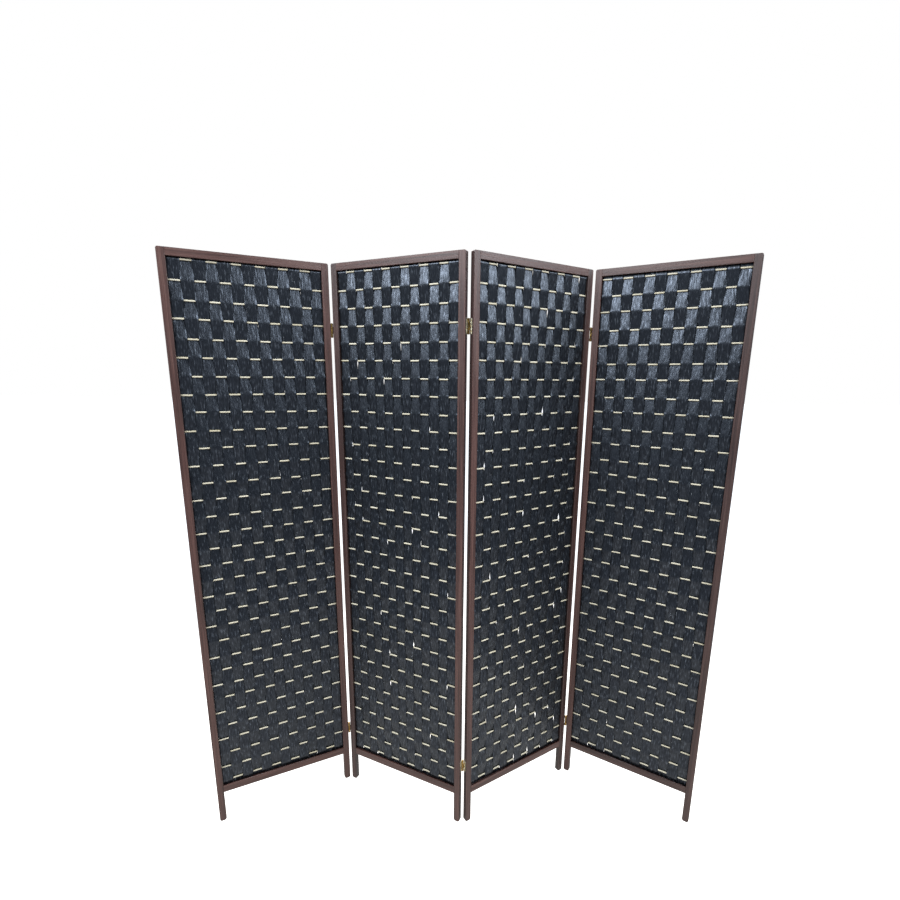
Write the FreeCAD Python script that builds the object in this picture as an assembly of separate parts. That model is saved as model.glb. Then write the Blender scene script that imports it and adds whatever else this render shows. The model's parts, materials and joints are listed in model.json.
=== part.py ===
import FreeCAD, Part
import math
import os

# Folding screen: four framed panels of woven bands and sticks, hinged edge to edge in a zigzag.
# In a panel's own frame x runs from its left edge, y from its front face to its back, z up from the floor.

# Panel frame
panel_width = 448.0
panel_height = 1800.0
frame_thickness = 16.0
stile_width = 21.0
top_rail_height = 21.5
bottom_rail_height = 25.5
leg_length = 109.0
foot_radius = 7.5
top_corner_radius = 5.0

# Stub tenons on the rails
tenon_length = 12.0
tenon_shoulder = 3.0
tenon_clearance = 0.1

# Woven filling: upright bands in front of and behind level sticks
band_count = 13
band_thickness = 1.5
band_gap = 1.0
stick_count = 33
stick_height = 4.2
stick_depth = 4.0
stick_end_clearance = 0.2
top_stick_drop = 6.0
bottom_stick_rise = 15.0
weave_clearance = 0.05

# Grooves in the rails take the band ends, and a spline wedges them there
groove_depth = 10.0
groove_end_clearance = 1.0
groove_side_clearance = 0.1
spline_setback = 4.0

# A narrow groove along the inner edge of each stile takes the stick ends
stick_groove_depth = 6.0
stick_groove_clearance = 0.1

# Butt hinges, two on each fold
hinge_height = 42.0
upper_hinge_drop = 191.0
lower_hinge_rise = 215.0
barrel_radius = 3.0
barrel_sides = 6
barrel_projection = 1.5
leaf_width = 11.0
leaf_thickness = 1.2
end_knuckle_height = 10.0
knuckle_clearance = 0.3
pin_radius = 1.4
pin_clearance = 0.05
pin_end_length = 0.8

# How the screen stands: the heading of each panel from left to right, in degrees
panel_headings = [28.65, -24.80, 34.83, -31.20]

# The first stick passes in front of the even bands, or on a reversed panel the odd ones
reversed_panels = [4]

# One overrun serves all cuts
overrun = 1.0

# Worked-out levels
opening_bottom = leg_length + bottom_rail_height
opening_top = panel_height - top_rail_height
top_stick_level = opening_top - top_stick_drop
bottom_stick_level = opening_bottom + bottom_stick_rise
stick_pitch = (top_stick_level - bottom_stick_level) / (stick_count - 1)
stick_levels = [top_stick_level - row * stick_pitch for row in range(stick_count)]
weave_middle = frame_thickness / 2

# A band leans as it crosses from front to back, so it stands off the stick far enough to clear its corners
lean_share = stick_height / stick_pitch
corner_room = (stick_depth + band_thickness) * lean_share / 2
stick_slack = (corner_room + weave_clearance) / (1 - lean_share)
band_offset = stick_depth / 2 + stick_slack
band_front_y = weave_middle - band_offset - band_thickness
band_back_y = weave_middle + band_offset
groove_width = 2 * (band_offset + band_thickness + groove_side_clearance)

# Bands fill the width between the stiles
band_pitch = (panel_width - 2 * stile_width) / band_count
band_width = band_pitch - band_gap

# Folds close to the front, to the back and to the front again
fold_faces = ["front", "back", "front"]


def vector(x, y, z):
    return FreeCAD.Vector(x, y, z)


def box_between(low, high):
    """A box between any two opposite corners."""
    corner = [min(a, b) for a, b in zip(low, high)]
    size = [abs(b - a) for a, b in zip(low, high)]
    return Part.makeBox(*size, vector(*corner))


def rounded_rectangle(width, height, radii):
    """An upright outline at y = 0; radii run from the bottom left corner round to the top left one."""
    corners = [(0, 0), (width, 0), (width, height), (0, height)]
    arrivals = [(0, -1), (1, 0), (0, 1), (-1, 0)]
    edges = []
    previous_end = None
    first_start = None
    for index, (corner, arrival, radius) in enumerate(zip(corners, arrivals, radii)):
        leave = arrivals[(index + 1) % len(arrivals)]
        start = vector(corner[0] - arrival[0] * radius, 0, corner[1] - arrival[1] * radius)
        end = vector(corner[0] + leave[0] * radius, 0, corner[1] + leave[1] * radius)
        if previous_end is None:
            first_start = start
        elif previous_end.distanceToPoint(start) > 0:
            edges.append(Part.LineSegment(previous_end, start).toShape())
        if radius > 0:
            centre = start + end - vector(corner[0], 0, corner[1])
            outward = (vector(corner[0], 0, corner[1]) - centre).normalize()
            edges.append(Part.Arc(start, centre + outward * radius, end).toShape())
        previous_end = end
    edges.append(Part.LineSegment(previous_end, first_start).toShape())
    return Part.Wire(edges)


def tenon(x_end, x_direction, bottom, height, clearance):
    """A stub tenon, or with a clearance the room for one, that leaves a rail's end along x."""
    x_tip = x_end + x_direction * (tenon_length + clearance)
    half_thickness = groove_width / 2 + clearance
    low = (x_end, weave_middle - half_thickness, bottom - clearance)
    high = (x_tip, weave_middle + half_thickness, bottom + height + clearance)
    return box_between(low, high)


def tenon_span(rail):
    """The bottom and the height of a rail's tenon, clear of its groove."""
    if rail == "top":
        bottom = opening_top + groove_depth
        height = top_rail_height - groove_depth - tenon_shoulder
        return bottom, height
    bottom = leg_length + tenon_shoulder
    height = bottom_rail_height - groove_depth - tenon_shoulder
    return bottom, height


def stile(side):
    """A stile that runs down to the floor as a leg, mortised for both rails and grooved for the sticks."""
    if side == "left":
        radii = [foot_radius, foot_radius, 0, top_corner_radius]
        origin_x = 0
        rail_end = stile_width
        into_stile = -1
    else:
        radii = [foot_radius, foot_radius, top_corner_radius, 0]
        origin_x = panel_width - stile_width
        rail_end = origin_x
        into_stile = 1
    outline = rounded_rectangle(stile_width, panel_height, radii)
    body = Part.Face(outline).extrude(vector(0, frame_thickness, 0))
    body.translate(vector(origin_x, 0, 0))
    for rail in ("top", "bottom"):
        bottom, height = tenon_span(rail)
        body = body.cut(tenon(rail_end, into_stile, bottom, height, tenon_clearance))
    half_groove = stick_depth / 2 + stick_groove_clearance
    groove_low = (rail_end - into_stile * overrun, weave_middle - half_groove, opening_bottom)
    groove_high = (rail_end + into_stile * stick_groove_depth, weave_middle + half_groove, opening_top)
    return body.cut(box_between(groove_low, groove_high))


def rail(place):
    """A rail between the stiles, grooved along the side that faces the weave."""
    if place == "top":
        low_z, high_z = opening_top, panel_height
        groove_mouth, groove_end = opening_top - overrun, opening_top + groove_depth
    else:
        low_z, high_z = leg_length, opening_bottom
        groove_mouth, groove_end = opening_bottom + overrun, opening_bottom - groove_depth
    left_end = stile_width
    right_end = panel_width - stile_width
    body = box_between((left_end, 0, low_z), (right_end, frame_thickness, high_z))
    bottom, height = tenon_span(place)
    body = body.fuse(tenon(left_end, -1, bottom, height, 0))
    body = body.fuse(tenon(right_end, 1, bottom, height, 0))
    groove = box_between(
        (left_end - overrun, weave_middle - groove_width / 2, groove_mouth),
        (right_end + overrun, weave_middle + groove_width / 2, groove_end))
    return body.cut(groove).removeSplitter()


def splines():
    """Strips deep in the rail grooves, between the front and the back band ends."""
    reach = groove_depth - groove_end_clearance
    half_thickness = band_offset - groove_side_clearance
    solids = []
    for mouth, inward in ((opening_top, 1), (opening_bottom, -1)):
        low_x = stile_width + groove_end_clearance
        high_x = panel_width - stile_width - groove_end_clearance
        low = (low_x, weave_middle - half_thickness, mouth + inward * spline_setback)
        high = (high_x, weave_middle + half_thickness, mouth + inward * reach)
        solids.append(box_between(low, high))
    return Part.makeCompound(solids)


def sticks():
    """Level sticks, with both ends in the grooves of the stiles."""
    left_x = stile_width - stick_groove_depth + stick_end_clearance
    right_x = panel_width - left_x
    solids = []
    for level in stick_levels:
        low = (left_x, weave_middle - stick_depth / 2, level - stick_height / 2)
        high = (right_x, weave_middle + stick_depth / 2, level + stick_height / 2)
        solids.append(box_between(low, high))
    return Part.makeCompound(solids)


def band_stations(front_first):
    """Where a band's front face lies at each end and at each stick: (y, z) from the top down."""
    passes = [band_front_y, band_back_y]
    if not front_first:
        passes.reverse()
    reach = groove_depth - groove_end_clearance
    stations = [(passes[0], opening_top + reach)]
    for row, level in enumerate(stick_levels):
        stations.append((passes[row % 2], level))
    stations.append((stations[-1][0], opening_bottom - reach))
    return stations


def band(front_first):
    """One band at x = 0: flat in front, with a low ridge of fibre along its back."""
    sections = []
    for y, z in band_stations(front_first):
        left = vector(0, y, z)
        right = vector(band_width, y, z)
        ridge = vector(band_width / 2, y + band_thickness, z)
        sections.append([left, right, ridge])
    faces = [face_through(sections[0]), face_through(sections[-1])]
    for upper, lower in zip(sections, sections[1:]):
        for index in range(len(upper)):
            following = (index + 1) % len(upper)
            faces.append(face_through([upper[index], upper[following], lower[following], lower[index]]))
    shell = Part.makeShell(faces)
    shell.sewShape()
    solid = Part.makeSolid(shell)
    if solid.Volume < 0:
        solid.reverse()
    return solid


def face_through(points):
    return Part.Face(Part.makePolygon(points + points[:1]))


def bands(reversed_weave):
    """All bands of a panel, side by side and by turns in front and behind."""
    front_band = band(True)
    back_band = band(False)
    solids = []
    for index in range(band_count):
        starts_in_front = (index % 2 == 0) != reversed_weave
        solid = (front_band if starts_in_front else back_band).copy()
        solid.translate(vector(stile_width + index * band_pitch + band_gap / 2, 0, 0))
        solids.append(solid)
    return Part.makeCompound(solids)


def hinge_axis(panel_side, face):
    """Where a fold's pin axis lies in the frame of the panel to its left or right."""
    axis_x = panel_width + barrel_radius if panel_side == "left" else -barrel_radius
    axis_y = -barrel_projection if face == "front" else frame_thickness + barrel_projection
    return axis_x, axis_y


def knuckle_spans(bottom):
    """Heights of the end knuckles, on the left leaf, and of the middle one, on the right leaf."""
    top = bottom + hinge_height
    middle_bottom = bottom + end_knuckle_height
    middle_top = top - end_knuckle_height
    end_spans = [
        (bottom, middle_bottom - knuckle_clearance / 2),
        (middle_top + knuckle_clearance / 2, top)]
    middle_spans = [(middle_bottom + knuckle_clearance / 2, middle_top - knuckle_clearance / 2)]
    return end_spans, middle_spans


def upright_prism(radius, axis_x, axis_y, low_z, high_z):
    """A small form round the pin axis, with few sides: the radius reaches its corners."""
    outline = []
    for side in range(barrel_sides):
        angle = 2 * math.pi * (side + 0.5) / barrel_sides
        outline.append(vector(axis_x + radius * math.cos(angle), axis_y + radius * math.sin(angle), low_z))
    return face_through(outline).extrude(vector(0, 0, high_z - low_z))


def hinge_leaf(panel_side, face, bottom):
    """A leaf on a stile's edge, with its knuckles round the pin off the closing face."""
    axis_x, axis_y = hinge_axis(panel_side, face)
    edge_x = panel_width if panel_side == "left" else 0
    into_gap = 1 if panel_side == "left" else -1
    into_wood = 1 if face == "front" else -1
    end_spans, middle_spans = knuckle_spans(bottom)
    own_spans, other_spans = end_spans, middle_spans
    if panel_side == "right":
        own_spans, other_spans = middle_spans, end_spans
    plate_x = edge_x + into_gap * leaf_thickness
    plate_y = axis_y + into_wood * (barrel_projection + leaf_width)
    leaf = box_between((edge_x, axis_y, bottom), (plate_x, plate_y, bottom + hinge_height))
    notch_low_y = axis_y - into_wood * overrun
    notch_high_y = axis_y + into_wood * (barrel_radius + knuckle_clearance)
    for low_z, high_z in other_spans:
        notch_low = (edge_x - into_gap * overrun, notch_low_y, low_z - knuckle_clearance)
        notch_high = (plate_x + into_gap * overrun, notch_high_y, high_z + knuckle_clearance)
        leaf = leaf.cut(box_between(notch_low, notch_high))
    bore_radius = (pin_radius + pin_clearance) / math.cos(math.pi / barrel_sides)
    for low_z, high_z in own_spans:
        knuckle = upright_prism(barrel_radius, axis_x, axis_y, low_z, high_z)
        bore = upright_prism(bore_radius, axis_x, axis_y, low_z - overrun, high_z + overrun)
        leaf = leaf.fuse(knuckle).cut(bore)
    return leaf.removeSplitter()


def hinge_pin(face, bottom):
    """A hinge's round pin, in the frame of the panel to its left."""
    axis_x, axis_y = hinge_axis("left", face)
    length = hinge_height + 2 * pin_end_length
    return Part.makeCylinder(pin_radius, length, vector(axis_x, axis_y, bottom - pin_end_length))


def turn(point, heading):
    """A plan point turned about the vertical."""
    cosine = math.cos(math.radians(heading))
    sine = math.sin(math.radians(heading))
    return point[0] * cosine - point[1] * sine, point[0] * sine + point[1] * cosine


def chained_origins():
    """Plan origins of the panels, from the first at (0, 0) on through the pin axis of each fold."""
    origins = [(0.0, 0.0)]
    for index, face in enumerate(fold_faces):
        left_pin = turn(hinge_axis("left", face), panel_headings[index])
        right_pin = turn(hinge_axis("right", face), panel_headings[index + 1])
        last = origins[-1]
        origins.append((last[0] + left_pin[0] - right_pin[0], last[1] + left_pin[1] - right_pin[1]))
    return origins


def centred_origins():
    """The same origins, with the middle of the whole footprint at the origin of the screen."""
    origins = chained_origins()
    corners = []
    for origin, heading in zip(origins, panel_headings):
        for x in (0, panel_width):
            for y in (0, frame_thickness):
                offset = turn((x, y), heading)
                corners.append((origin[0] + offset[0], origin[1] + offset[1]))
    middle = [(min(values) + max(values)) / 2 for values in zip(*corners)]
    return [(origin[0] - middle[0], origin[1] - middle[1]) for origin in origins]


def panel_nodes(number):
    """Every piece of one panel, by name."""
    return {
        "left_stile": stile("left"),
        "right_stile": stile("right"),
        "top_rail": rail("top"),
        "bottom_rail": rail("bottom"),
        "splines": splines(),
        "sticks": sticks(),
        "bands": bands(number in reversed_panels)}


def export(name, shape, origin, heading):
    """Stand a piece in its place in the zigzag and write it."""
    placed = shape.copy()
    spin = FreeCAD.Rotation(vector(0, 0, 1), heading)
    placed.Placement = FreeCAD.Placement(vector(origin[0], origin[1], 0), spin)
    placed.exportStep(os.path.join("parts", name + ".step"))


def main():
    os.makedirs("parts", exist_ok=True)
    origins = centred_origins()
    for index, (origin, heading) in enumerate(zip(origins, panel_headings)):
        number = index + 1
        for piece, shape in panel_nodes(number).items():
            export("panel_%d_%s" % (number, piece), shape, origin, heading)
    hinge_bottoms = {
        "upper": panel_height - upper_hinge_drop - hinge_height / 2,
        "lower": lower_hinge_rise - hinge_height / 2}
    for index, face in enumerate(fold_faces):
        left_place = (origins[index], panel_headings[index])
        right_place = (origins[index + 1], panel_headings[index + 1])
        fold = "fold_%d_%d" % (index + 1, index + 2)
        for level, bottom in hinge_bottoms.items():
            export("%s_%s_left_leaf" % (fold, level), hinge_leaf("left", face, bottom), *left_place)
            export("%s_%s_right_leaf" % (fold, level), hinge_leaf("right", face, bottom), *right_place)
            export("%s_%s_pin" % (fold, level), hinge_pin(face, bottom), *left_place)
    for index, (origin, heading) in enumerate(zip(origins, panel_headings)):
        print("panel", index + 1, "origin", [round(value, 3) for value in origin], "heading", heading)
        if index < len(fold_faces):
            offset = turn(hinge_axis("left", fold_faces[index]), heading)
            pin = [round(origin[0] + offset[0], 3), round(origin[1] + offset[1], 3)]
            print("fold", index + 1, index + 2, "pin axis", pin)


main()
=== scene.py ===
import json
import math
import random

import bmesh
import bpy
import numpy as np
from mathutils import Matrix, Vector


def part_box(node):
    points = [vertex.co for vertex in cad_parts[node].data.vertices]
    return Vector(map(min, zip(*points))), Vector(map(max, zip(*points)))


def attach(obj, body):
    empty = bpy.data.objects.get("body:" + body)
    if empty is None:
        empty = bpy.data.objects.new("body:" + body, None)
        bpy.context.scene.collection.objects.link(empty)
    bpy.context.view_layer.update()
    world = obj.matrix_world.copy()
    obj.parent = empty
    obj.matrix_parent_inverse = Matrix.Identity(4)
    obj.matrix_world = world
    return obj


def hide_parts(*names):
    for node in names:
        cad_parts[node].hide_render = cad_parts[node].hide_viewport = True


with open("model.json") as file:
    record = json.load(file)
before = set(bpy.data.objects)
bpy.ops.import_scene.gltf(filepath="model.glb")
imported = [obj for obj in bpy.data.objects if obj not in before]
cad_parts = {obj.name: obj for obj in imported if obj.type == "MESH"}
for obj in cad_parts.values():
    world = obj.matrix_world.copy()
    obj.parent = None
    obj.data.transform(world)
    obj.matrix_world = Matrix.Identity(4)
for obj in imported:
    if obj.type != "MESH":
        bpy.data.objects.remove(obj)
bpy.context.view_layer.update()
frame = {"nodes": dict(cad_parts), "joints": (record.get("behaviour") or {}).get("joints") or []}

# Folding screen: stained wood frames, black fibre bands woven over pale sticks, brass butt hinges.
# Lengths are in metres. In a panel's own frame x runs from its left edge, y from front to back, z up.

panel_numbers = (1, 2, 3, 4)

# Frame members
stile_edge_round = 0.0016
rail_edge_round = 0.0013
round_segments = 3
round_profile_share = 0.5
foot_radius = 0.0075
top_corner_radius = 0.0050
arc_segments = 8
groove_width = 0.0078
groove_depth = 0.0100
spline_round = 0.0012
spline_half_thickness = 0.0021
spline_setback = 0.0040
spline_reach = 0.0090
spline_end_clearance = 0.0010
flat_side_limit = 0.7
timber_start_limit = 8
frame_seed = 100

# Members drawn darker, as shares of the common colour: painted shade on the fold-valley stiles, where the
# next panel's shadow falls, and a darker, greyer tone on panel 4's right stile and bottom rail
painted_shade_and_tone_members = (
    "panel_2_left_stile",
    "panel_3_right_stile",
    "panel_4_right_stile",
    "panel_4_bottom_rail",
)
painted_shade_and_tone_shares = (0.72, 0.80, 0.84)

# Sticks; their waves are in radians over the panel's width
stick_depth = 0.0040
stick_height = 0.0046
stick_corner_share = 0.55
stick_end_reach = 0.0005
stick_wobble = 0.0004
stick_level_spread = 0.0008
stick_tilt_spread = 0.0010
stick_stations_per_band = 3
stick_wave_radians = (7.0, 17.0)
stick_fullness_range = (0.94, 1.0)
stick_waist_share = 0.04
stick_waist_radians = 23.0
stick_waist_phase_limit = 6
stick_grain_start_limit = 9
line_seed = 200
stick_seed = 300

# Rows set off their level, listed as (panel, row from the top): (drop at the left, drop at the right)
slipped_rows = {
    (1, 23): (0.0060, 0.0040),
    (1, 8): (-0.0020, 0.0030),
    (2, 10): (0.0050, -0.0030),
    (2, 19): (-0.0030, 0.0020),
    (3, 14): (0.0020, -0.0030),
    (4, 0): (0.0050, 0.0060),
    (4, 12): (-0.0020, 0.0020),
}
alternate_row_drop = {1: 0.0000, 2: 0.0004, 3: 0.0000, 4: 0.0022}

# Bands
band_count = 13
reversed_panels = (4,)
band_thickness = 0.0012
band_edge_thickness = 0.0003
band_swing = 0.0031
band_turn_sharpness = 0.96
band_swell = 0.0022
band_swell_spread = (0.95, 1.35)
band_open_share = 0.20
band_open_spread = (-0.20, 0.35)
band_open_distance_share = 0.16
band_behind_gain = 1.0
band_cross_gap = 0.0001
band_stile_clearance = 0.0001
band_cup = 0.75
band_cup_start = 0.5
band_drift = 0.0005
band_ripple = 0.00020
band_row_shares = (0.0, 0.045, 0.09, 0.15, 0.24, 0.36, 0.5, 0.64, 0.76, 0.85, 0.91, 0.955)

# How far a band has swollen, and how far its edges bend back, by its distance from the nearest stick
# as a share of the row: flat over the stick, widest and cupped beside it, narrow where bands cross
swell_distance_shares = (0.0, 0.05, 0.13, 0.30, 0.50)
swell_shares = (0.7, 0.8, 1.0, 0.8, 0.0)
cup_distance_shares = (0.05, 0.14)
band_columns = 11
band_groove_reach = 0.0060
top_swell_shares = (0.5, 0.5, 0.6)
bottom_swell_shares = (0.7, 0.9, 0.6, 0.5)
band_seed = 400

# A band's swing from the rail to the nearest stick, where it passes behind that stick or in front of it
end_behind_shares = (1.0, 1.0, 1.0)
end_front_shares = (0.7, 0.5, -0.6)

# Slow waves up a band, in radians to the metre: the drift of its edges and two ripples over its face,
# whose half turns are counted from its middle to an edge
band_drift_radians = 13.0
ripple_radians = (11.0, 19.0)
ripple_half_turns = (4.2, 7.1)

# Loose fibres off the bands: how many on each panel, and which shares of its width they keep to
fibre_counts = {1: 70, 2: 26, 3: 30, 4: 44}
fibre_zone_shares = {1: (0.50, 1.0), 2: (0.0, 1.0), 3: (0.0, 1.0), 4: (0.25, 1.0)}
fibre_half_width = 0.00022
fibre_length_range = (0.006, 0.016)
fibre_lift_range = (0.0004, 0.0016)
fibre_stations = 6
fibre_corners = 3
fibre_side_share = 0.42
fibre_lean_share = 0.12
fibre_taper_share = 0.7
fibre_curl_shares = (0.5, 1.0)
fibre_seed = 500

# Hinges
barrel_radius = 0.0030
leaf_thickness = 0.0012
leaf_corner_radius = 0.0020
end_knuckle_height = 0.0100
knuckle_clearance = 0.0003
knuckle_end_round = 0.0004
pin_radius = 0.0014
pin_dome = 0.0005
pin_end_share = 0.5
round_sides = 28
screw_shares = (0.16, 0.50, 0.84)
screw_radius = 0.0025
screw_rise = 0.0003
screw_slot_half_width = 0.0003
screw_seat_rise = 0.00005
screw_inset = 0.0055
sharp_edge_degrees = 40

# The floor, and its light on the screen by the distance from its middle as a share of the glow's reach
floor_half_width = 30.0
floor_glow_reach = 6.0
floor_glow_stops = [
    (0.08, (0.58, 0.56, 0.52)),
    (0.16, (0.74, 0.71, 0.66)),
    (0.22, (0.74, 0.71, 0.66)),
    (0.32, (0.08, 0.085, 0.10)),
    (0.48, (0.08, 0.085, 0.10)),
    (0.62, (0.34, 0.385, 0.445))]

# Light from the studio's walls
studio_light_colour = (0.62, 0.80, 1.0, 1.0)
studio_light_strength = 0.13

# Softboxes: place, target, width and height, watts and colour, and those that leave no highlights
softboxes = {
    "left_softbox": ((-2.35, -2.05, 3.75), (0.0, 0.0, 1.4), (2.6, 1.9), 275.0, (0.87, 0.945, 1.0)),
    "right_softbox": ((2.95, -1.30, 3.5), (0.0, 0.0, 1.3), (2.5, 2.2), 210.0, (0.86, 0.94, 1.0)),
    "front_softbox": ((1.5, -3.6, 2.4), (0.0, 0.0, 0.9), (2.0, 1.6), 85.0, (1.0, 1.0, 1.0)),
    "back_softbox": ((0.0, 3.0, 4.2), (0.0, 0.0, 1.0), (6.0, 3.5), 340.0, (1.0, 1.0, 1.0)),
}
softboxes_without_highlights = ("front_softbox",)

# The photograph's camera: pixels of its 900 pixel frame, metres and degrees
frame_pixels = 900
focal_pixels = 512.48
optical_centre_pixels = (457.79, 494.23)
camera_place = Vector((0.03475, -1.56677, 1.47752))
camera_yaw = -1.456
camera_pitch = 13.007
camera_roll = 0.564
sensor_width_mm = 36.0


def box_centre(node):
    low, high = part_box(node)
    return (low + high) / 2


def panel_matrix(number):
    """Where a panel stands: from its own frame to the screen's."""
    left_node = "panel_%d_left_stile" % number
    along = box_centre("panel_%d_right_stile" % number) - box_centre(left_node)
    along.z = 0
    along.normalize()
    across = Vector((-along.y, along.x, 0))
    points = [vertex.co for vertex in frame["nodes"][left_node].data.vertices]
    origin = along * min(point.dot(along) for point in points)
    origin += across * min(point.dot(across) for point in points)
    return Matrix((
        (along.x, across.x, 0, origin.x),
        (along.y, across.y, 0, origin.y),
        (0, 0, 1, 0),
        (0, 0, 0, 1)))


panel_matrices = {number: panel_matrix(number) for number in panel_numbers}


def local_box(number, node):
    """A node's lowest and highest corners in a panel's own frame."""
    inverse = panel_matrices[number].inverted()
    points = np.array([inverse @ vertex.co for vertex in frame["nodes"][node].data.vertices])
    return Vector(points.min(0)), Vector(points.max(0))


left_stile_box = local_box(1, "panel_1_left_stile")
right_stile_box = local_box(1, "panel_1_right_stile")
top_rail_box = local_box(1, "panel_1_top_rail")
bottom_rail_box = local_box(1, "panel_1_bottom_rail")
panel_width = right_stile_box[1].x
panel_height = left_stile_box[1].z
frame_thickness = left_stile_box[1].y
stile_width = left_stile_box[1].x
opening_top = top_rail_box[0].z
opening_bottom = bottom_rail_box[1].z
weave_middle = frame_thickness / 2
weave_left = stile_width
band_pitch = (panel_width - 2 * weave_left) / band_count


# Materials

def new_material(name):
    material = bpy.data.materials.new(name)
    material.use_nodes = True
    tree = material.node_tree
    return material, tree, tree.nodes["Principled BSDF"]


def grain_vector(tree, across_scale, along_scale):
    """Texture coordinates in metres, scaled across and along the grain."""
    coordinates = tree.nodes.new("ShaderNodeUVMap")
    coordinates.uv_map = "grain"
    mapping = tree.nodes.new("ShaderNodeMapping")
    mapping.inputs["Scale"].default_value = (across_scale, along_scale, 1)
    tree.links.new(coordinates.outputs["UV"], mapping.inputs["Vector"])
    return mapping.outputs["Vector"]


def noise(tree, across_scale, along_scale, detail=3.0, distortion=0.0):
    texture = tree.nodes.new("ShaderNodeTexNoise")
    texture.inputs["Scale"].default_value = 1.0
    texture.inputs["Detail"].default_value = detail
    texture.inputs["Distortion"].default_value = distortion
    tree.links.new(grain_vector(tree, across_scale, along_scale), texture.inputs["Vector"])
    return texture.outputs["Fac"]


def ramp(tree, factor, stops):
    node = tree.nodes.new("ShaderNodeValToRGB")
    elements = node.color_ramp.elements
    while len(elements) < len(stops):
        elements.new(0.5)
    for element, (position, colour) in zip(elements, stops):
        element.position = position
        element.color = (*colour, 1.0)
    tree.links.new(factor, node.inputs["Fac"])
    return node.outputs["Color"]


def math_node(tree, operation, first, second):
    node = tree.nodes.new("ShaderNodeMath")
    node.operation = operation
    for socket, value in zip(node.inputs, (first, second)):
        if isinstance(value, (int, float)):
            socket.default_value = value
        else:
            tree.links.new(value, socket)
    return node.outputs["Value"]


def blend(tree, first, second, second_share):
    """Two factors mixed, with a share of the second."""
    first_part = math_node(tree, "MULTIPLY", first, 1 - second_share)
    return math_node(tree, "ADD", first_part, math_node(tree, "MULTIPLY", second, second_share))


def mix_colour(tree, blend_type, factor, first, second):
    node = tree.nodes.new("ShaderNodeMix")
    node.data_type = "RGBA"
    node.blend_type = blend_type
    if isinstance(factor, float):
        node.inputs["Factor"].default_value = factor
    else:
        tree.links.new(factor, node.inputs["Factor"])
    for name, value in (("A", first), ("B", second)):
        socket = [s for s in node.inputs if s.name == name and s.type == "RGBA"][0]
        if isinstance(value, tuple):
            socket.default_value = (*value, 1.0)
        else:
            tree.links.new(value, socket)
    return [s for s in node.outputs if s.type == "RGBA"][0]


def spread(tree, factor, low, high, from_low=0.3, from_high=0.7):
    node = tree.nodes.new("ShaderNodeMapRange")
    node.inputs["From Min"].default_value = from_low
    node.inputs["From Max"].default_value = from_high
    node.inputs["To Min"].default_value = low
    node.inputs["To Max"].default_value = high
    tree.links.new(factor, node.inputs["Value"])
    return node.outputs["Result"]


def bump(tree, height, distance, strength, shader):
    node = tree.nodes.new("ShaderNodeBump")
    node.inputs["Distance"].default_value = distance
    node.inputs["Strength"].default_value = strength
    tree.links.new(height, node.inputs["Height"])
    tree.links.new(node.outputs["Normal"], shader.inputs["Normal"])


def wood_material(name, shares):
    """Dark reddish-brown stain over straight grain with fine pores, as shares of the common colour;
    smaller shares give painted shade or a darker tone, and faces that face along the panel get painted
    shade.
    """
    material, tree, shader = new_material(name)
    lines = noise(tree, 520, 7, detail=5.0, distortion=0.3)
    broad = noise(tree, 95, 2.2, detail=2.0, distortion=0.5)
    pores = noise(tree, 1900, 42, detail=2.0)
    figure = blend(tree, lines, broad, 0.45)
    stops = [
        (0.33, (0.020, 0.0074, 0.0056)),
        (0.47, (0.046, 0.0185, 0.0147)),
        (0.57, (0.070, 0.0305, 0.0245)),
        (0.70, (0.102, 0.0500, 0.0410))]
    stain_and_painted_shade_stops = [(position, tuple(np.multiply(colour, shares))) for position, colour in stops]
    colour = ramp(tree, figure, stain_and_painted_shade_stops)
    pore_shade = spread(tree, pores, 0.0, 0.6, 0.60, 0.74)
    colour = mix_colour(tree, "MULTIPLY", pore_shade, colour, (0.35, 0.30, 0.28))
    # Painted shade: faces that face along the panel, the stiles' edges in the gaps between panels and the
    # rails' ends, are darkened as if shadowed
    facing = tree.nodes.new("ShaderNodeTexCoord").outputs["Normal"]
    parts = tree.nodes.new("ShaderNodeSeparateXYZ")
    tree.links.new(facing, parts.inputs["Vector"])
    painted_side_shade = spread(tree, math_node(tree, "ABSOLUTE", parts.outputs["X"], 0.0), 0.0, 1.0, 0.80, 0.98)
    colour = mix_colour(tree, "MULTIPLY", painted_side_shade, colour, (0.40, 0.38, 0.38))
    tree.links.new(colour, shader.inputs["Base Color"])
    tree.links.new(spread(tree, lines, 0.36, 0.52), shader.inputs["Roughness"])
    shader.inputs["Specular IOR Level"].default_value = 0.5
    height = math_node(tree, "SUBTRACT", lines, pore_shade)
    bump(tree, height, 0.0003, 0.35, shader)
    return material


def stick_material():
    """Pale split wood with long fibres."""
    material, tree, shader = new_material("pale_stick")
    fibres = noise(tree, 900, 14, detail=3.0)
    tone = noise(tree, 40, 3, detail=1.0)
    figure = blend(tree, fibres, tone, 0.5)
    colour = ramp(tree, figure, [
        (0.30, (0.31, 0.262, 0.162)),
        (0.48, (0.428, 0.384, 0.288)),
        (0.66, (0.520, 0.474, 0.374))])
    tree.links.new(colour, shader.inputs["Base Color"])
    tree.links.new(spread(tree, fibres, 0.42, 0.60), shader.inputs["Roughness"])
    bump(tree, fibres, 0.0002, 0.4, shader)
    return material


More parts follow.
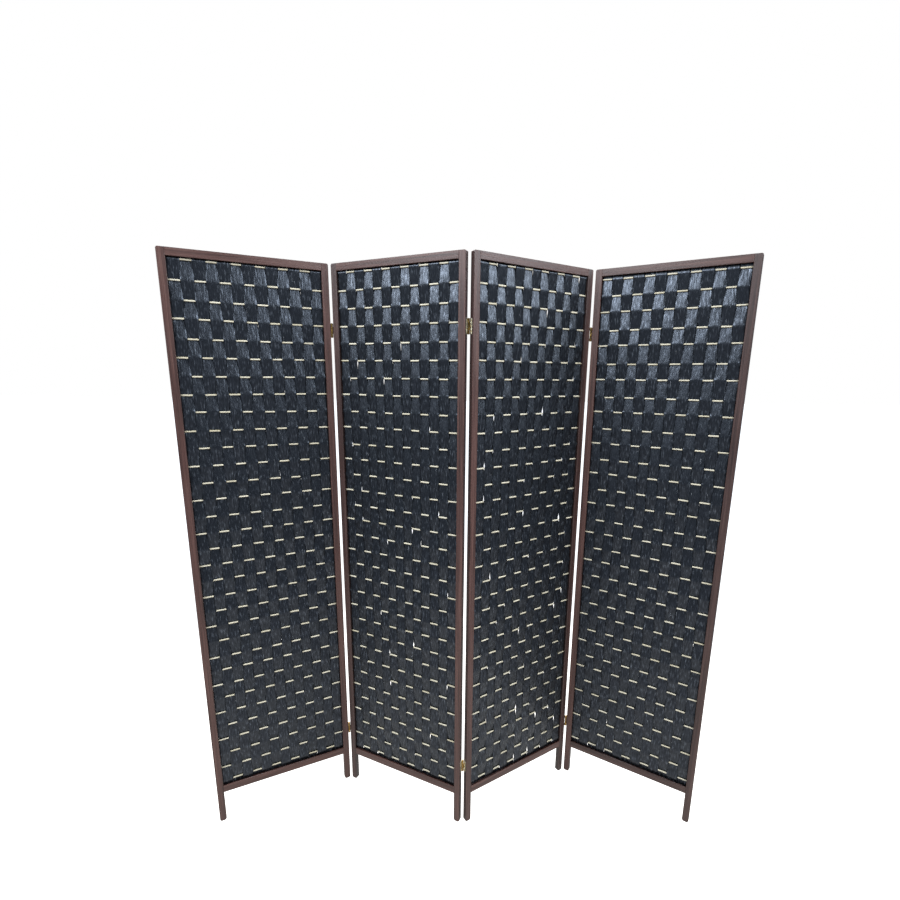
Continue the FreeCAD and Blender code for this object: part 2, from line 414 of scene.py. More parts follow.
def band_material():
    """Black paper fibre: streaks along the band, brighter across the fibres than along them."""
    material, tree, shader = new_material("black_fibre")
    strands = noise(tree, 620, 16, detail=3.0, distortion=0.2)
    threads = noise(tree, 1700, 34, detail=2.0)
    flecks = noise(tree, 260, 55, detail=2.0)
    patches = noise(tree, 55, 26, detail=2.0)
    figure = blend(tree, strands, threads, 0.4)
    streaks = blend(tree, figure, flecks, 0.6)
    colour = ramp(tree, streaks, [
        (0.42, (0.0006, 0.0007, 0.0010)),
        (0.50, (0.0030, 0.0034, 0.0043)),
        (0.56, (0.0115, 0.0128, 0.0157)),
        (0.64, (0.0600, 0.0660, 0.0760))])
    colour = mix_colour(tree, "MULTIPLY", 0.6, colour, ramp(tree, patches, [
        (0.30, (0.45, 0.46, 0.50)),
        (0.70, (1.00, 1.00, 1.00))]))
    tree.links.new(colour, shader.inputs["Base Color"])
    tree.links.new(spread(tree, streaks, 0.50, 0.22, 0.41, 0.60), shader.inputs["Roughness"])
    shader.inputs["Anisotropic"].default_value = 0.40
    shader.inputs["Specular IOR Level"].default_value = 0.55
    shader.inputs["Specular Tint"].default_value = (0.75, 0.83, 1.0, 1.0)
    tangent = tree.nodes.new("ShaderNodeTangent")
    tangent.direction_type = "UV_MAP"
    tangent.uv_map = "grain"
    tree.links.new(tangent.outputs["Tangent"], shader.inputs["Tangent"])
    bump(tree, blend(tree, figure, flecks, 0.7), 0.0015, 0.9, shader)
    return material


def loose_fibre_material():
    """Frayed fibre, paler than the bands."""
    material, tree, shader = new_material("loose_fibre")
    tone = noise(tree, 300, 60, detail=2.0)
    colour = ramp(tree, tone, [
        (0.35, (0.16, 0.17, 0.20)),
        (0.65, (0.52, 0.54, 0.58))])
    tree.links.new(colour, shader.inputs["Base Color"])
    tree.links.new(spread(tree, tone, 0.35, 0.55), shader.inputs["Roughness"])
    return material


def brass_material(name, colours, roughness):
    """Plated brass, dulled in patches."""
    material, tree, shader = new_material(name)
    tarnish = noise(tree, 240, 160, detail=4.0)
    brushed = noise(tree, 2600, 60, detail=2.0)
    tree.links.new(ramp(tree, tarnish, list(zip((0.35, 0.65), colours))), shader.inputs["Base Color"])
    tree.links.new(spread(tree, brushed, *roughness), shader.inputs["Roughness"])
    shader.inputs["Metallic"].default_value = 1.0
    bump(tree, brushed, 0.00005, 0.3, shader)
    return material


wood = wood_material("stained_wood", (1.0, 1.0, 1.0))
# Darker wood for the listed members: painted shade on the fold-valley stiles, a darker tone on panel 4's
# members
painted_shade_and_tone_material = wood_material("painted_shade_and_tone_wood", painted_shade_and_tone_shares)
stick_wood = stick_material()
band_fibre = band_material()
loose_fibre = loose_fibre_material()
leaf_brass = brass_material("leaf_brass", ((0.80, 0.74, 0.56), (0.95, 0.92, 0.84)), (0.22, 0.36))
# Knuckles and pins take a dark amber brass, far darker than the pale leaves
barrel_brass = brass_material("barrel_brass", ((0.16, 0.09, 0.025), (0.46, 0.29, 0.09)), (0.24, 0.40))
screw_brass = brass_material("screw_brass", ((0.48, 0.39, 0.22), (0.68, 0.60, 0.42)), (0.28, 0.42))


# Meshes

def set_grain(mesh, coordinates):
    """Writes the grain coordinates, one for each vertex, to the mesh's corners."""
    layer = mesh.uv_layers.new(name="grain")
    corners = np.zeros(len(mesh.loops), dtype=np.int32)
    mesh.loops.foreach_get("vertex_index", corners)
    layer.data.foreach_set("uv", np.asarray(coordinates, dtype=np.float32)[corners].ravel())


def place(name, mesh, material, matrix, body, slot, *nodes):
    """Puts a mesh in the scene on its panel's body, in the place of its CAD nodes."""
    mesh.materials.append(material)
    piece = bpy.data.objects.new(name, mesh)
    bpy.context.scene.collection.objects.link(piece)
    piece.matrix_world = matrix
    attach(piece, body)
    if nodes:
        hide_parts(*nodes)
    return piece


def ring_mesh(name, rings, coordinates):
    """A mesh of closed tubes through rings of points; rings is (tubes, stations, points, 3)."""
    tubes, stations, points = rings.shape[:3]
    index = np.arange(tubes * stations * points).reshape(tubes, stations, points)
    following = np.roll(index, -1, axis=2)
    corners = [index[:, :-1], following[:, :-1], following[:, 1:], index[:, 1:]]
    faces = np.stack(corners, axis=-1).reshape(-1, 4).tolist()
    faces += index[:, 0, ::-1].tolist()
    faces += index[:, -1].tolist()
    mesh = bpy.data.meshes.new(name)
    mesh.from_pydata(rings.reshape(-1, 3).tolist(), [], faces)
    set_grain(mesh, coordinates.reshape(-1, 2))
    mesh.shade_smooth()
    return mesh


def prism(outline, offset):
    """A prism of an outline and its shifted copy, as an editable mesh."""
    shape = bmesh.new()
    face = shape.faces.new([shape.verts.new(point) for point in outline])
    grown = bmesh.ops.extrude_face_region(shape, geom=[face])
    moved = [item for item in grown["geom"] if isinstance(item, bmesh.types.BMVert)]
    bmesh.ops.translate(shape, verts=moved, vec=offset)
    bmesh.ops.recalc_face_normals(shape, faces=shape.faces)
    return shape


def round_edges(shape, edges, radius):
    bmesh.ops.bevel(
        shape, geom=edges, offset=radius, segments=round_segments,
        profile=round_profile_share, affect="EDGES")


def wood_mesh(name, shape, along_axis, generator):
    """Finishes a wooden member: grain runs along an axis, from a random place in the timber."""
    across_axis = 0 if along_axis == 2 else 2
    start = Vector([generator.uniform(0, timber_start_limit) for _ in range(2)])
    layer = shape.loops.layers.uv.new("grain")
    for face in shape.faces:
        face.smooth = True
        flat_side = abs(face.normal.y) > flat_side_limit
        for corner in face.loops:
            point = corner.vert.co
            across = point[across_axis] if flat_side else point.y + frame_thickness
            corner[layer].uv = (start.x + across, start.y + point[along_axis])
    mesh = bpy.data.meshes.new(name)
    shape.to_mesh(mesh)
    shape.free()
    return mesh


def keep_flats(piece):
    """Keeps broad faces flat beside their rounded edges."""
    modifier = piece.modifiers.new("flat_faces", "WEIGHTED_NORMAL")
    modifier.keep_sharp = True


def corner_arc(centre, radius, start_degrees):
    """A quarter circle in the upright plane, counterclockwise."""
    points = []
    for step in range(arc_segments + 1):
        angle = math.radians(start_degrees + 90 * step / arc_segments)
        points.append((centre[0] + radius * math.cos(angle), 0, centre[1] + radius * math.sin(angle)))
    return points


# Frame members

def stile_shape(left_x, outer_side):
    """A stile with rounded feet, a rounded outer top corner and softened edges."""
    right_x = left_x + stile_width
    outline = corner_arc((left_x + foot_radius, foot_radius), foot_radius, 180)
    outline += corner_arc((right_x - foot_radius, foot_radius), foot_radius, 270)
    top = panel_height - top_corner_radius
    if outer_side == "left":
        outline += [(right_x, 0, panel_height)]
        outline += corner_arc((left_x + top_corner_radius, top), top_corner_radius, 90)
    else:
        outline += corner_arc((right_x - top_corner_radius, top), top_corner_radius, 0)
        outline += [(left_x, 0, panel_height)]
    shape = prism(outline, Vector((0, frame_thickness, 0)))
    rims = [edge for edge in shape.edges if edge.verts[0].co.y == edge.verts[1].co.y]
    round_edges(shape, rims, stile_edge_round)
    return shape


def rail_shape(low_z, high_z, groove_on_top):
    """A rail between the stiles, with a groove towards the weave."""
    near = weave_middle - groove_width / 2
    far = weave_middle + groove_width / 2
    if groove_on_top:
        mouth, end = high_z, high_z - groove_depth
        section = [(0, low_z), (frame_thickness, low_z), (frame_thickness, mouth)]
        section += [(far, mouth), (far, end), (near, end), (near, mouth), (0, mouth)]
    else:
        mouth, end = low_z, low_z + groove_depth
        section = [(0, mouth), (near, mouth), (near, end), (far, end), (far, mouth)]
        section += [(frame_thickness, mouth), (frame_thickness, high_z), (0, high_z)]
    length = panel_width - 2 * stile_width
    shape = prism([(stile_width, y, z) for y, z in section], Vector((length, 0, 0)))
    outer = []
    for edge in shape.edges:
        first, second = (vertex.co for vertex in edge.verts)
        lengthwise = abs(first.x - second.x) > length / 2
        if lengthwise and min(abs(first.y), abs(first.y - frame_thickness)) < rail_edge_round:
            outer.append(edge)
    round_edges(shape, outer, rail_edge_round)
    return shape


def bar_shape(low, high, radius):
    """A straight strip with softened upright edges."""
    corners = ((low.x, low.y), (high.x, low.y), (high.x, high.y), (low.x, high.y))
    outline = [(x, y, low.z) for x, y in corners]
    shape = prism(outline, Vector((0, 0, high.z - low.z)))
    uprights = [edge for edge in shape.edges if abs(edge.verts[0].co.z - edge.verts[1].co.z) > radius]
    round_edges(shape, uprights, radius)
    return shape


def join_shapes(shapes):
    joined = shapes[0]
    for shape in shapes[1:]:
        loose = bpy.data.meshes.new("loose")
        shape.to_mesh(loose)
        shape.free()
        joined.from_mesh(loose)
        bpy.data.meshes.remove(loose)
    joined.normal_update()
    return joined


def spline_shapes():
    """Strips that hold the band ends deep in the rail grooves."""
    low_x = weave_left + spline_end_clearance
    high_x = panel_width - weave_left - spline_end_clearance
    shapes = []
    for mouth, inward in ((opening_top, 1), (opening_bottom, -1)):
        levels = sorted((mouth + inward * spline_setback, mouth + inward * spline_reach))
        low = Vector((low_x, weave_middle - spline_half_thickness, levels[0]))
        high = Vector((high_x, weave_middle + spline_half_thickness, levels[1]))
        shapes.append(bar_shape(low, high, spline_round))
    return shapes


def build_frame(number):
    generator = random.Random(frame_seed + number)
    members = {
        "left_stile": (stile_shape(0, "left"), 2),
        "right_stile": (stile_shape(panel_width - stile_width, "right"), 2),
        "top_rail": (rail_shape(opening_top, panel_height, False), 0),
        "bottom_rail": (rail_shape(bottom_rail_box[0].z, opening_bottom, True), 0),
        "splines": (join_shapes(spline_shapes()), 0)}
    body = "panel_%d" % number
    for member, (shape, along_axis) in members.items():
        node = "%s_%s" % (body, member)
        name = node + "_wood"
        mesh = wood_mesh(name, shape, along_axis, generator)
        # Listed members take the darker wood, which carries painted shade in the fold valleys
        material = painted_shade_and_tone_material if node in painted_shade_and_tone_members else wood
        piece = place(name, mesh, material, panel_matrices[number], body, "frame_wood", node)
        keep_flats(piece)


# Weave

def stick_levels(number):
    """The level of each stick in the CAD, from the top down."""
    node = frame["nodes"]["panel_%d_sticks" % number]
    faces = sorted({round(vertex.co.z, 5) for vertex in node.data.vertices}, reverse=True)
    return [(upper + lower) / 2 for upper, lower in zip(faces[::2], faces[1::2])]


def stick_lines(number):
    """The line that each stick of a panel takes: its level, its tilt and its slow waves."""
    generator = random.Random(line_seed + number)
    lines = []
    for row, level in enumerate(stick_levels(number)):
        left_drop, right_drop = slipped_rows.get((number, row), (0.0, 0.0))
        shift = generator.gauss(0, stick_level_spread)
        shift -= alternate_row_drop[number] * (1 if row % 2 else -1)
        tilt = generator.gauss(0, stick_tilt_spread)
        wave = generator.uniform(0, 2 * math.pi)
        lines.append((level + shift, left_drop + tilt / 2, right_drop - tilt / 2, wave))
    return lines


def stick_height_at(line, x):
    """The level of a stick at a place along it; x may be an array."""
    level, left_drop, right_drop, wave = line
    share = x / panel_width
    waves = stick_wobble * np.sin(wave + stick_wave_radians[0] * share)
    waves = waves + stick_wobble * np.sin(2 * wave + stick_wave_radians[1] * share) / 2
    return level - left_drop * (1 - share) - right_drop * share + waves


def build_sticks(number, lines):
    generator = random.Random(stick_seed + number)
    stations = band_count * stick_stations_per_band + 1
    x = np.linspace(weave_left - stick_end_reach, panel_width - weave_left + stick_end_reach, stations)
    corner = stick_corner_share
    section = np.array([
        (-1, -corner), (-corner, -1), (corner, -1), (1, -corner),
        (1, corner), (corner, 1), (-corner, 1), (-1, corner)])
    rings = np.zeros((len(lines), stations, len(section), 3))
    grain = np.zeros((len(lines), stations, len(section), 2))
    grain_across = np.arange(len(section)) * stick_depth / 2
    for row, line in enumerate(lines):
        fullness = generator.uniform(*stick_fullness_range)
        phase = generator.uniform(0, stick_waist_phase_limit)
        waist = stick_waist_share * np.sin(phase + stick_waist_radians * x / panel_width)
        thickness = np.minimum(fullness + waist, 1.0)
        half_heights = section[None, :, 1] * thickness[:, None] * stick_height / 2
        rings[row, :, :, 0] = x[:, None]
        rings[row, :, :, 1] = weave_middle + section[None, :, 0] * thickness[:, None] * stick_depth / 2
        rings[row, :, :, 2] = stick_height_at(line, x)[:, None] + half_heights
        grain[row, :, :, 0] = generator.uniform(0, stick_grain_start_limit) + grain_across[None, :]
        grain[row, :, :, 1] = generator.uniform(0, stick_grain_start_limit) + x[:, None]
    body = "panel_%d" % number
    name = body + "_stick_rods"
    mesh = ring_mesh(name, rings, grain)
    place(name, mesh, stick_wood, panel_matrices[number], body, "stick_wood", body + "_sticks")


def in_front(number, band, row):
    """Whether a band passes in front of a stick."""
    return (band + row) % 2 == (1 if number in reversed_panels else 0)


def rounded_zigzag(share):
    """From 1 down to -1: nearly straight runs with a short turn at each end."""
    reach = math.asin(band_turn_sharpness)
    return np.arcsin(band_turn_sharpness * np.cos(np.pi * share)) / reach


def band_path(number, band, lines):
    """A band's depth, height, swell share and cup at each of its stations, from the top down."""
    centre_x = weave_left + (band + 0.5) * band_pitch
    levels = [float(stick_height_at(line, centre_x)) for line in lines]
    shares = np.array(band_row_shares)
    distance = np.minimum(shares, 1 - shares)
    row_swell = np.interp(distance, swell_distance_shares, swell_shares)
    row_cup = np.interp(distance, cup_distance_shares, (0.0, band_cup))
    first_side = -1 if in_front(number, band, 0) else 1
    last_side = -1 if in_front(number, band, len(levels) - 1) else 1
    groove_top = opening_top + band_groove_reach
    groove_bottom = opening_bottom - band_groove_reach
    first_shares = np.array(end_behind_shares if first_side > 0 else end_front_shares)
    last_shares = np.array(end_behind_shares if last_side > 0 else end_front_shares)[::-1]
    depth = [first_shares * band_swing]
    height = [np.array([groove_top, opening_top, (opening_top + levels[0]) / 2])]
    swell = [np.array(top_swell_shares)]
    cup = [np.zeros(len(top_swell_shares))]
    for row, (upper, lower) in enumerate(zip(levels, levels[1:])):
        side = -1 if in_front(number, band, row) else 1
        swing_share = side * rounded_zigzag(shares)
        depth.append(band_swing * swing_share)
        height.append(upper + (lower - upper) * shares)
        swell.append(row_swell * (1 + band_behind_gain * np.maximum(swing_share, 0)))
        cup.append(row_cup)
    depth.append(np.concatenate([[last_side], last_shares]) * band_swing)
    height.append(np.array([levels[-1], (levels[-1] + opening_bottom) / 2, opening_bottom, groove_bottom]))
    swell.append(np.array(bottom_swell_shares))
    cup.append(np.zeros(len(bottom_swell_shares)))
    return [np.concatenate(values) for values in (depth, height, swell, cup)]


def edge_swelling(generator, lines, height, open_share):
    """How far an edge swells at each height: beside some sticks it is drawn in and leaves a slit."""
    levels = np.array([line[0] for line in lines])
    offset = band_open_distance_share * (levels[0] - levels[-1]) / (len(levels) - 1)
    places = np.stack([levels + offset, levels - offset], axis=1).ravel()
    swellings = []
    for _ in places:
        drawn_in = generator.random() < open_share
        swellings.append(generator.uniform(*(band_open_spread if drawn_in else band_swell_spread)))
    return np.interp(height, places[::-1], swellings[::-1])


def build_bands(number, lines):
    """Bands that swell beside each stick, bend their edges back and draw in where they cross."""
    generator = random.Random(band_seed + number)
    across = np.linspace(-1, 1, band_columns)
    ring_across = np.concatenate([across, across[::-1]])
    ring_side = np.concatenate([-np.ones(band_columns), np.ones(band_columns)])
    bulge = 1 - ring_across ** 2
    half_thickness = (band_edge_thickness + (band_thickness - band_edge_thickness) * np.sqrt(bulge)) / 2
    edgeward = np.clip((np.abs(ring_across) - band_cup_start) / (1 - band_cup_start), 0, 1)
    edgeward = edgeward ** 2 * (3 - 2 * edgeward)
    lowest_x = weave_left + band_stile_clearance
    highest_x = panel_width - weave_left - band_stile_clearance
    seam_phases = [generator.uniform(0, 2 * math.pi) for _ in range(band_count + 1)]
    all_rings = []
    all_grain = []
    for band in range(band_count):
        depth, height, swell, cup = band_path(number, band, lines)
        phases = [generator.uniform(0, 2 * math.pi) for _ in range(3)]
        edges = []
        bends = []
        for side, seam in ((-1, band), (1, band + 1)):
            beside_stile = seam in (0, band_count)
            drift = band_drift * np.sin(seam_phases[seam] + band_drift_radians * height)
            seam_x = weave_left + seam * band_pitch + (0.0 if beside_stile else drift)
            open_share = 0.0 if beside_stile else band_open_share
            edge_spread = edge_swelling(generator, lines, height, open_share)
            swelling = band_swell * swell * edge_spread - band_cross_gap / 2
            edges.append(np.clip(seam_x + side * swelling, lowest_x, highest_x))
            bends.append(cup * np.clip(edge_spread, 0, 1))
        middle_x = (edges[0] + edges[1]) / 2
        half_span = (edges[1] - edges[0]) / 2
        first_turn = ripple_half_turns[0] * math.pi * ring_across[None, :]
        second_turn = ripple_half_turns[1] * math.pi * ring_across[None, :]
        ripple = np.sin(phases[0] + first_turn + ripple_radians[0] * height[:, None])
        ripple = ripple + np.sin(phases[1] - second_turn + ripple_radians[1] * height[:, None])
        rings = np.zeros((len(height), len(ring_across), 3))
        rings[:, :, 0] = middle_x[:, None] + ring_across[None, :] * half_span[:, None]
        bend = np.where(ring_across[None, :] < 0, bends[0][:, None], bends[1][:, None])
        rings[:, :, 1] = weave_middle + depth[:, None] * (1 - bend * edgeward[None, :])
        rings[:, :, 1] += ring_side * half_thickness + band_ripple * ripple * np.sqrt(bulge)[None, :]
        rings[:, :, 2] = height[:, None]
        grain = np.zeros((len(height), len(ring_across), 2))
        grain[:, :, 0] = rings[:, :, 0] + number
        grain[:, :, 1] = height[:, None] + phases[2]
        all_rings.append(rings)
        all_grain.append(grain)
    body = "panel_%d" % number
    name = body + "_fibre_bands"
    mesh = ring_mesh(name, np.array(all_rings), np.array(all_grain))
    place(name, mesh, band_fibre, panel_matrices[number], body, "band_fibre", body + "_bands")


def build_loose_fibres(number, lines):
    """Short frayed fibres that lift off the front of the bands."""
    generator = random.Random(fibre_seed + number)
    low_share, high_share = fibre_zone_shares[number]
    count = fibre_counts[number]
    corner_angles = [2 * math.pi * corner / fibre_corners for corner in range(fibre_corners)]
    rings = np.zeros((count, fibre_stations, fibre_corners, 3))
    grain = np.zeros((count, fibre_stations, fibre_corners, 2))
    for fibre in range(count):
        band = generator.randrange(int(band_count * low_share), int(band_count * high_share))
        depth, height = band_path(number, band, lines)[:2]
        length = generator.uniform(*fibre_length_range)
        top = generator.uniform(opening_bottom + 2 * length, opening_top - 2 * length)
        side = generator.uniform(-fibre_side_share, fibre_side_share) * band_pitch
        lean = generator.uniform(-fibre_lean_share, fibre_lean_share) * length
        lift = generator.uniform(*fibre_lift_range)
        shares = np.linspace(0, 1, fibre_stations)
        z = top - shares * length
        surface = np.interp(z, height[::-1], depth[::-1]) + weave_middle - band_thickness / 2
        x = weave_left + (band + 0.5) * band_pitch + side + lean * shares ** 2
        y = surface - lift * np.sin(np.pi * shares * generator.uniform(*fibre_curl_shares))
        taper = fibre_half_width * (1 - fibre_taper_share * shares)
        for corner, angle in enumerate(corner_angles):
            rings[fibre, :, corner, 0] = x + taper * math.cos(angle)
            rings[fibre, :, corner, 1] = y + taper * math.sin(angle)
            rings[fibre, :, corner, 2] = z
            grain[fibre, :, corner, 0] = fibre + corner * fibre_half_width
            grain[fibre, :, corner, 1] = z
    body = "panel_%d" % number
    name = body + "_loose_fibres"
    mesh = ring_mesh(name, rings, grain)
    place(name, mesh, loose_fibre, panel_matrices[number], body, "band_fibre")


# Hinges

def turned_rings(centre, profile):
    """Rings about an upright axis; profile is radius and height from the bottom up."""
    angles = 2 * math.pi * np.arange(round_sides) / round_sides
    rings = np.zeros((1, len(profile), round_sides, 3))
    grain = np.zeros((1, len(profile), round_sides, 2))
    for station, (radius, z) in enumerate(profile):
        rings[0, station, :, 0] = centre[0] + radius * np.cos(angles)
        rings[0, station, :, 1] = centre[1] + radius * np.sin(angles)
        rings[0, station, :, 2] = z
        grain[0, station, :, 0] = angles * barrel_radius
        grain[0, station, :, 1] = z
    return rings, grain


def shape_from_rings(rings, grain):
    mesh = ring_mesh("turned", rings, grain)
    shape = bmesh.new()
    shape.from_mesh(mesh)
    bpy.data.meshes.remove(mesh)
    return shape


def knuckle_shape(centre, low_z, high_z):
    inner = barrel_radius - knuckle_end_round
    profile = [(inner, low_z), (barrel_radius, low_z + knuckle_end_round)]
    profile += [(barrel_radius, high_z - knuckle_end_round), (inner, high_z)]
    return shape_from_rings(*turned_rings(centre, profile))


def plate_outline(near_y, far_y, low_z, high_z, notches):
    """A leaf seen from its side: rounded towards the wood and notched beside the other leaf's knuckles."""
    step = 1 if far_y > near_y else -1
    notch_y = near_y + step * (barrel_radius + knuckle_clearance)
    outline = []
    centre_y = far_y - step * leaf_corner_radius
    for centre_z, start_degrees in ((low_z + leaf_corner_radius, 270), (high_z - leaf_corner_radius, 0)):
        for part in range(arc_segments + 1):
            angle = math.radians(start_degrees + 90 * part / arc_segments)
            reach = leaf_corner_radius * math.cos(angle)
            outline.append((centre_y + step * reach, centre_z + leaf_corner_radius * math.sin(angle)))
    for notch_low, notch_high in sorted(notches, reverse=True):
        upper = min(notch_high, high_z)
        lower = max(notch_low, low_z)
        if notch_high < high_z:
            if outline[-1][0] != near_y:
                outline.append((near_y, high_z))
            outline.append((near_y, upper))
        outline += [(notch_y, upper), (notch_y, lower)]
        if notch_low > low_z:
            outline += [(near_y, lower)]
    if outline[-1][0] == near_y and outline[-1][1] > low_z:
        outline.append((near_y, low_z))
    cleaned = [outline[0]]
    for point in outline[1:]:
        if abs(point[0] - cleaned[-1][0]) + abs(point[1] - cleaned[-1][1]) > knuckle_clearance / 10:
            cleaned.append(point)
    return cleaned


def finish_metal(name, shape, material, matrix, body, slot, *nodes):
    """Gives a small metal piece its grain coordinates and places it."""
    shape.normal_update()
    layer = shape.loops.layers.uv.get("grain") or shape.loops.layers.uv.new("grain")
    for face in shape.faces:
        for corner in face.loops:
            point = corner.vert.co
            corner[layer].uv = (point.x + point.y, point.z)
    mesh = bpy.data.meshes.new(name)
    shape.to_mesh(mesh)
    shape.free()
    mesh.shade_smooth()
    mesh.set_sharp_from_angle(angle=math.radians(sharp_edge_degrees))
    return place(name, mesh, material, matrix, body, slot, *nodes)


def build_leaf(fold, level, side, number, notched_ends):
    """One leaf: a plate on the stile's edge, with its knuckles round the pin."""
    node = "%s_%s_%s_leaf" % (fold, level, side)
    matrix = panel_matrices[number]
    joint = [item for item in frame["joints"] if item["name"] == fold][0]
    axis = matrix.inverted() @ Vector(joint["pos_m"])
    low, high = local_box(number, node)
    edge_x = panel_width if side == "left" else 0.0
    outward = 1 if side == "left" else -1
    far_y = high.y if axis.y < weave_middle else low.y
    middle = (low.z + end_knuckle_height, high.z - end_knuckle_height)
    half_gap = knuckle_clearance / 2
    ends = [(low.z, middle[0] - half_gap), (middle[1] + half_gap, high.z)]
    centre_span = [(middle[0] + half_gap, middle[1] - half_gap)]
    own, other = (centre_span, ends) if notched_ends else (ends, centre_span)
    notches = [(start - knuckle_clearance, end + knuckle_clearance) for start, end in other]
    outline = plate_outline(axis.y, far_y, low.z, high.z, notches)
    plate = prism([(edge_x, y, z) for y, z in outline], Vector((outward * leaf_thickness, 0, 0)))
    knuckles = [knuckle_shape(axis, start, end) for start, end in own]
    body = "panel_%d" % number
    plate_name = "%s_%s_%s_hinge_leaf" % (fold, level, side)
    finish_metal(plate_name, plate, leaf_brass, matrix, body, "hinge_brass", node)
    knuckle_name = "%s_%s_%s_knuckles" % (fold, level, side)
    finish_metal(knuckle_name, join_shapes(knuckles), barrel_brass, matrix, body, "hinge_brass")
    face_x = edge_x + outward * leaf_thickness
    inward = 1 if far_y < axis.y else -1
    screw_y = far_y + inward * screw_inset
    screws = []
    for share in screw_shares:
        screws += screw_shapes(Vector((face_x, screw_y, low.z + share * (high.z - low.z))), outward)
    screw_name = "%s_%s_%s_screws" % (fold, level, side)
    finish_metal(screw_name, join_shapes(screws), screw_brass, matrix, body, "hinge_brass")


def screw_rim(centre, x, angle):
    """A point on the rim of a screw's head."""
    return x, centre.y + screw_radius * math.cos(angle), centre.z + screw_radius * math.sin(angle)


def screw_shapes(centre, outward):
    """A slotted head on the leaf: its seat and the two halves beside the slot."""
    seat = [screw_rim(centre, centre.x, 2 * math.pi * step / round_sides) for step in range(round_sides)]
    shapes = [prism(seat, Vector((outward * screw_seat_rise, 0, 0)))]
    limit = math.asin(screw_slot_half_width / screw_radius)
    base_x = centre.x + outward * screw_seat_rise
    for turn in (0, math.pi):
        half = []
        for step in range(round_sides // 2 + 1):
            angle = turn + limit + (math.pi - 2 * limit) * step / (round_sides // 2)
            half.append(screw_rim(centre, base_x, angle))
        shapes.append(prism(half, Vector((outward * screw_rise, 0, 0))))
    return shapes


def build_pin(fold, level, number):
    """A hinge pin with domed ends."""
    node = "%s_%s_pin" % (fold, level)
    low, high = local_box(number, node)
    centre = (low + high) / 2
    end_radius = pin_radius * pin_end_share
    profile = [(end_radius, low.z), (pin_radius, low.z + pin_dome)]
    profile += [(pin_radius, high.z - pin_dome), (end_radius, high.z)]
    shape = shape_from_rings(*turned_rings(centre, profile))
    name = "%s_%s_hinge_pin" % (fold, level)
    body = "panel_%d" % number
    finish_metal(name, shape, barrel_brass, panel_matrices[number], body, "hinge_brass", node)


def build_hinges():
    for left_number, right_number in zip(panel_numbers, panel_numbers[1:]):
        fold = "fold_%d_%d" % (left_number, right_number)
        for level in ("upper", "lower"):
            build_leaf(fold, level, "left", left_number, False)
            build_leaf(fold, level, "right", right_number, True)
            build_pin(fold, level, left_number)


# Stage

def build_floor():
    """A plain pale floor, lit from within enough to stay white to its far edge."""
    half = floor_half_width
    corners = [(-half, -half, 0), (half, -half, 0), (half, half, 0), (-half, half, 0)]
    mesh = bpy.data.meshes.new("floor")
    mesh.from_pydata(corners, [], [(0, 1, 2, 3)])
    material, tree, shader = new_material("pale_floor")
    shader.inputs["Base Color"].default_value = (0.20, 0.20, 0.20, 1.0)
    shader.inputs["Roughness"].default_value = 0.9
    shader.inputs["Specular IOR Level"].default_value = 0.0
    position = tree.nodes.new("ShaderNodeNewGeometry").outputs["Position"]
    distance = tree.nodes.new("ShaderNodeVectorMath")
    distance.operation = "LENGTH"
    tree.links.new(position, distance.inputs[0])
    reach_share = math_node(tree, "DIVIDE", distance.outputs["Value"], floor_glow_reach)
    tree.links.new(ramp(tree, reach_share, floor_glow_stops), shader.inputs["Emission Color"])
    shader.inputs["Emission Strength"].default_value = 1.0
    glow = tree.nodes.new("ShaderNodeEmission")
    glow.inputs["Strength"].default_value = 0.95
    both = tree.nodes.new("ShaderNodeAddShader")
    tree.links.new(shader.outputs["BSDF"], both.inputs[0])
    tree.links.new(glow.outputs["Emission"], both.inputs[1])
    mix = tree.nodes.new("ShaderNodeMixShader")
    path = tree.nodes.new("ShaderNodeLightPath")
    tree.links.new(path.outputs["Is Camera Ray"], mix.inputs["Fac"])
    tree.links.new(shader.outputs["BSDF"], mix.inputs[1])
    tree.links.new(both.outputs["Shader"], mix.inputs[2])
    tree.links.new(mix.outputs["Shader"], tree.nodes["Material Output"].inputs["Surface"])
    mesh.materials.append(material)
    floor = bpy.data.objects.new("floor", mesh)
    bpy.context.scene.collection.objects.link(floor)


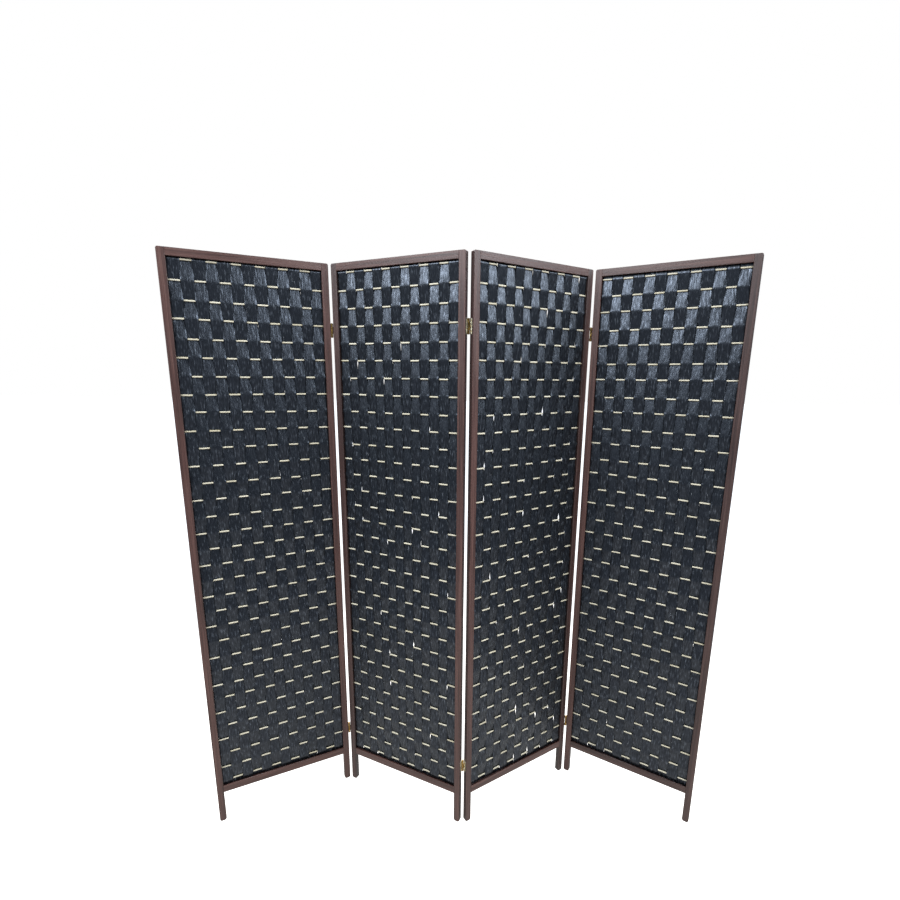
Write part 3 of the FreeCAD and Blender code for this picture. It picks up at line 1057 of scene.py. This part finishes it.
def build_world():
    """A white studio round the object, which lights it more softly than it looks."""
    world = bpy.data.worlds.new("studio")
    world.use_nodes = True
    tree = world.node_tree
    seen = tree.nodes["Background"]
    seen.inputs["Color"].default_value = (1.0, 1.0, 1.0, 1.0)
    seen.inputs["Strength"].default_value = 1.0
    lighting = tree.nodes.new("ShaderNodeBackground")
    lighting.inputs["Color"].default_value = studio_light_colour
    lighting.inputs["Strength"].default_value = studio_light_strength
    path = tree.nodes.new("ShaderNodeLightPath")
    mix = tree.nodes.new("ShaderNodeMixShader")
    tree.links.new(path.outputs["Is Camera Ray"], mix.inputs["Fac"])
    tree.links.new(lighting.outputs["Background"], mix.inputs[1])
    tree.links.new(seen.outputs["Background"], mix.inputs[2])
    tree.links.new(mix.outputs["Shader"], tree.nodes["World Output"].inputs["Surface"])
    bpy.context.scene.world = world


def add_softbox(name, place_at, target, size, power, colour):
    light = bpy.data.lights.new(name, "AREA")
    light.shape = "RECTANGLE"
    light.size, light.size_y = size
    light.energy = power
    light.color = colour
    lamp = bpy.data.objects.new(name, light)
    bpy.context.scene.collection.objects.link(lamp)
    lamp.location = place_at
    direction = Vector(target) - Vector(place_at)
    lamp.rotation_euler = direction.to_track_quat("-Z", "Y").to_euler()
    return lamp


def build_lights():
    for name, settings in softboxes.items():
        lamp = add_softbox(name, *settings)
        lamp.visible_glossy = name not in softboxes_without_highlights


def build_camera():
    yaw, pitch, roll = (math.radians(angle) for angle in (camera_yaw, camera_pitch, camera_roll))
    level_reach = math.cos(pitch)
    forward = Vector((math.sin(yaw) * level_reach, math.cos(yaw) * level_reach, -math.sin(pitch)))
    level_right = Vector((math.cos(yaw), -math.sin(yaw), 0))
    level_up = level_right.cross(forward)
    right = level_right * math.cos(roll) + level_up * math.sin(roll)
    up = level_up * math.cos(roll) - level_right * math.sin(roll)
    data = bpy.data.cameras.new("photo_camera")
    data.sensor_width = sensor_width_mm
    data.lens = focal_pixels * sensor_width_mm / frame_pixels
    data.shift_x = (frame_pixels / 2 - optical_centre_pixels[0]) / frame_pixels
    data.shift_y = (optical_centre_pixels[1] - frame_pixels / 2) / frame_pixels
    camera = bpy.data.objects.new("photo_camera", data)
    bpy.context.scene.collection.objects.link(camera)
    turned = Matrix((right, up, -forward)).transposed().to_4x4()
    camera.matrix_world = Matrix.Translation(camera_place) @ turned
    bpy.context.scene.camera = camera


for panel_number in panel_numbers:
    panel_lines = stick_lines(panel_number)
    build_frame(panel_number)
    build_sticks(panel_number, panel_lines)
    build_bands(panel_number, panel_lines)
    build_loose_fibres(panel_number, panel_lines)
build_hinges()
build_floor()
build_world()
build_lights()
build_camera()
bpy.context.scene.view_settings.view_transform = "Standard"
